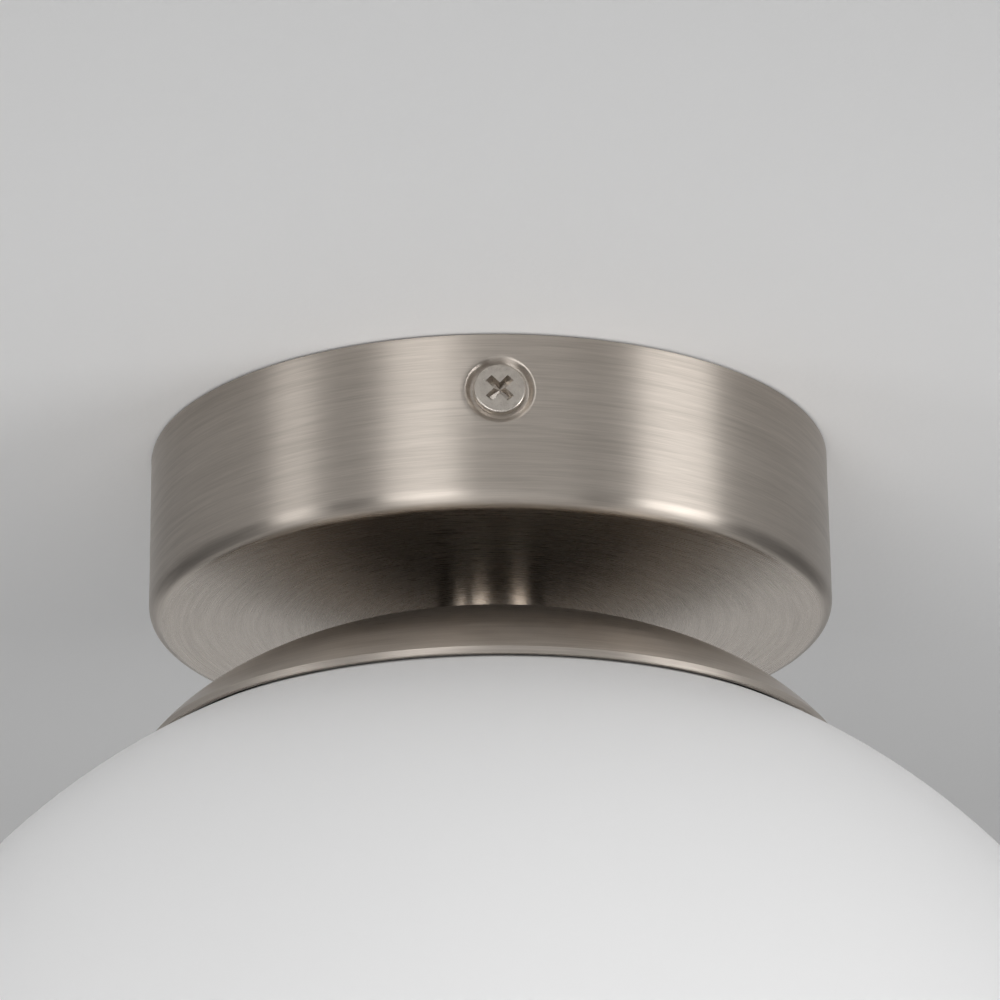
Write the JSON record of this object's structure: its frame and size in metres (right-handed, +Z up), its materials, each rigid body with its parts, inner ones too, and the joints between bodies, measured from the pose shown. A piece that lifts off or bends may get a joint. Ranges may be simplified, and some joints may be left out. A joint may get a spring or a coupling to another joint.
{
  "type": "flush mount ceiling light",
  "caption": "Round flush mount ceiling light: a brushed metal canopy and dome that hold an opal glass globe on leaf springs, with a screw-in bulb.",
  "frame": {"origin": "on the lamp's axis at the ceiling: the middle of the bracket's cable hole, in its upper face", "axes": "+Z up into the ceiling, Y along the bracket and through the two canopy screws, -Y towards the viewer of the picture"},
  "size_m": [0.2, 0.2, 0.2341],
  "materials": {
    "canopy_nickel": "satin nickel, brushed round the axis",
    "holder_nickel": "satin nickel, polished smooth",
    "screw_nickel": "nickel plated",
    "zinc_steel": "bright zinc plated",
    "tinned_copper": "tin plated",
    "aluminium": "plain",
    "spring_steel": "rolled spring strip",
    "silicone": "soft, translucent white",
    "opal_glass": "glossy opal white",
    "block_plastic": "moulded nylon",
    "brass": "turned, plain",
    "lampholder_plastic": "moulded, white",
    "insert_ceramic": "glazed, off-white",
    "sleeve_metal": "rolled thread, nickel plated",
    "lead_brown": "brown insulation",
    "lead_blue": "blue insulation",
    "lead_green_yellow": "green and yellow insulation",
    "bulb_shell_metal": "rolled thread",
    "bulb_insulator_black": "vitrified, black",
    "bulb_housing_white": "moulded, white",
    "bulb_dome_opal": "frosted, white"
  },
  "bodies": {
    "fitting": {"canopy": "canopy_nickel", "shade_holder": "holder_nickel", "spacer_collar": "holder_nickel", "ceiling_bracket": "zinc_steel", "earth_screw": "brass", "lock_washer": "zinc_steel", "earth_tag": "tinned_copper", "nipple": "zinc_steel", "nipple_nut": "zinc_steel", "carrier_nut": "zinc_steel", "spring_carrier": "zinc_steel", "spring_rivets": "aluminium", "glass_springs": "spring_steel", "shade_gasket": "silicone", "terminal_block_body": "block_plastic", "terminal_barrels": "brass", "terminal_clamp_screws": "zinc_steel", "terminal_fixing_screw": "zinc_steel", "lampholder_cap": "lampholder_plastic", "lampholder_skirt": "lampholder_plastic", "lampholder_insert": "insert_ceramic", "lampholder_grub_screw": "zinc_steel", "lampholder_centre_contact": "brass", "lampholder_terminal_screws": "brass", "lampholder_thread_sleeve": "sleeve_metal", "lead_live": "lead_brown", "lead_neutral": "lead_blue", "lead_earth": "lead_green_yellow"},
    "globe": {"globe": "opal_glass"},
    "bulb_tip": {"bulb_contact": "brass"},
    "bulb": {"bulb_base": "bulb_shell_metal", "bulb_insulator": "bulb_insulator_black", "bulb_housing": "bulb_housing_white", "bulb_dome": "bulb_dome_opal"},
    "screw_front": {"canopy_screw_front": "screw_nickel"},
    "screw_rear": {"canopy_screw_rear": "screw_nickel"}
  },
  "joints": [
    {"name": "globe_drop", "type": "slide", "parent": "fitting", "child": "globe", "axis": [0, 0, -1], "range_m": [0, 0.13], "deforming": ["glass_springs"]},
    {"name": "bulb_travel", "type": "slide", "parent": "fitting", "child": "bulb_tip", "axis": [0, 0, -1], "range_m": [0, 0.02177]},
    {"name": "bulb_turn", "type": "hinge", "parent": "bulb_tip", "child": "bulb", "pos_m": [0, 0, 0], "axis": [0, 0, -1], "range_deg": [0, 2160]},
    {"name": "screw_front_draw", "type": "slide", "parent": "fitting", "child": "screw_front", "axis": [0, -1, 0], "range_m": [0, 0.01]},
    {"name": "screw_rear_draw", "type": "slide", "parent": "fitting", "child": "screw_rear", "axis": [0, 1, 0], "range_m": [0, 0.01]}
  ],
  "couplings": [
    {"joint": "bulb_travel", "follows": "bulb_turn", "m_per_rad": 0.00057757}
  ]
}
